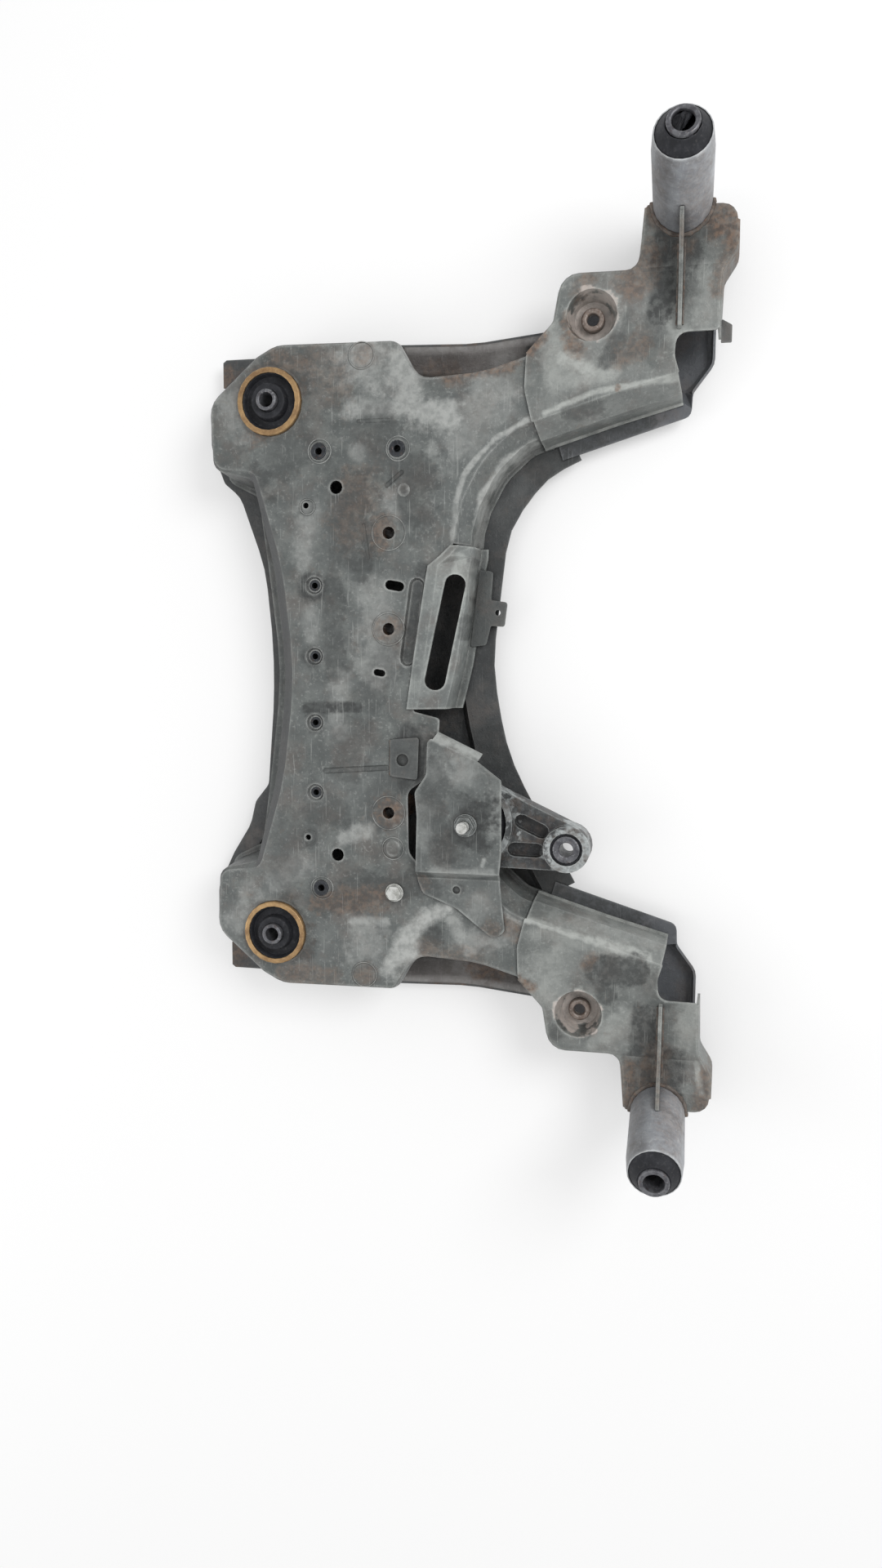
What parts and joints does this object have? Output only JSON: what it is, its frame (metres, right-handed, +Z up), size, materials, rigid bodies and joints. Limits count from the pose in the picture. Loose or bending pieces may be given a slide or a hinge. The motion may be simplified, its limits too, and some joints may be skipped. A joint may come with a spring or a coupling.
{
  "type": "front suspension subframe",
  "caption": "Pressed steel front suspension subframe with leaning body mount tubes, bonded rear bushes, steering rack seats and a torque rod under a bolted cover plate.",
  "frame": {"origin": "middle of the bounding box, on the plane of the lower shell's flat underside", "axes": "+X to the front of the car, +Y to the car's left along the subframe's width, +Z up along the tubes"},
  "size_m": [0.5674, 0.9914, 0.206],
  "materials": {
    "worn_paint": "worn grey paint on pressed steel, dusty and scuffed",
    "grimy_paint": "dark grey paint under road grime",
    "tube_paint": "grey paint, rust brown at the roots",
    "bush_rubber": "matte black rubber, dusty",
    "bush_steel": "dull grey steel",
    "passivated_steel": "yellow passivated steel, tarnished",
    "cast_rod": "rough cast, oxidised",
    "bright_steel": "bright machined steel",
    "rusty_steel": "brown surface rust"
  },
  "bodies": {
    "root": {"upper_shell": "worn_paint", "lower_shell": "grimy_paint", "arm_upper_left": "worn_paint", "arm_upper_right": "worn_paint", "arm_lower_left": "grimy_paint", "arm_lower_right": "grimy_paint", "horn_tube_left": "tube_paint", "horn_tube_right": "tube_paint", "horn_rubber_left": "bush_rubber", "horn_rubber_right": "bush_rubber", "horn_sleeve_left": "bush_steel", "horn_sleeve_right": "bush_steel", "horn_gusset_left": "tube_paint", "horn_gusset_right": "tube_paint", "rear_bush_ring_left": "passivated_steel", "rear_bush_ring_right": "passivated_steel", "rear_bush_rubber_left": "bush_rubber", "rear_bush_rubber_right": "bush_rubber", "rear_bush_sleeve_left": "bush_steel", "rear_bush_sleeve_right": "bush_steel", "rear_bush_housing_left": "grimy_paint", "rear_bush_housing_right": "grimy_paint", "slot_reinforcement": "worn_paint", "weld_nut_bracket": "grimy_paint", "clip_bracket": "grimy_paint", "arm_tab_bracket": "grimy_paint", "mount_cover_plate": "worn_paint", "torque_rod_body": "cast_rod", "rod_rubber_large": "bush_rubber", "rod_core_large": "bush_steel", "rod_rubber_small": "bush_rubber", "rod_core_small": "bush_steel", "torque_rod_bolt": "bright_steel", "torque_rod_nut": "bush_steel", "collar_nut_rear_left": "grimy_paint", "collar_nut_rear_right": "grimy_paint", "collar_nut_mid_left": "grimy_paint", "threaded_insert_a": "grimy_paint", "threaded_insert_b": "grimy_paint", "threaded_insert_c": "grimy_paint", "threaded_insert_d": "grimy_paint", "rack_spacer_left": "rusty_steel", "rack_spacer_middle": "rusty_steel", "rack_spacer_right": "rusty_steel", "deck_bolt": "bright_steel", "control_arm_nut_left": "bush_steel", "control_arm_nut_right": "bush_steel"}
  },
  "joints": []
}
